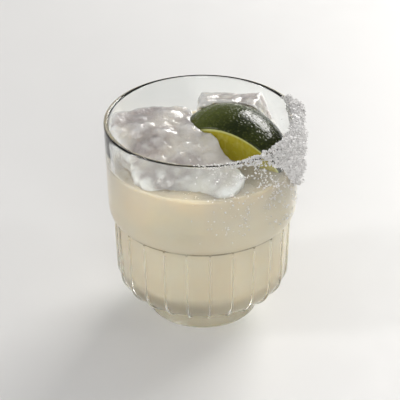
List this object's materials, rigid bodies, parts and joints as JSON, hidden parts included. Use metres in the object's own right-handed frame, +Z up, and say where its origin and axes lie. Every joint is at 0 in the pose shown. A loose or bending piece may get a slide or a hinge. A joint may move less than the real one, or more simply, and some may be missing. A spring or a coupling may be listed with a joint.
{
  "type": "margarita cocktail",
  "caption": "Margarita on the rocks: cloudy lime drink in a stepped, ribbed glass tumbler with ice lumps, a lime wedge and coarse salt on one side of the rim.",
  "frame": {"origin": "centre of the foot's underside, where the tumbler rests", "axes": "+Z up along the tumbler's axis; -Y towards the viewer; +X to the side with the salted rim and the lime"},
  "size_m": [0.0895, 0.0883, 0.0978],
  "materials": {
    "glass": "clear, polished",
    "drink": "cloudy liquid, glossy surface",
    "ice": "cloudy, wet, cracked",
    "lime": "waxy pitted rind, wet flesh",
    "salt": "coarse white crystals"
  },
  "bodies": {
    "root": {"glass": "glass", "drink": "drink", "ice_left": "ice", "ice_front": "ice", "ice_back": "ice", "lime_wedge": "lime", "salt_crust": "salt"}
  },
  "joints": []
}
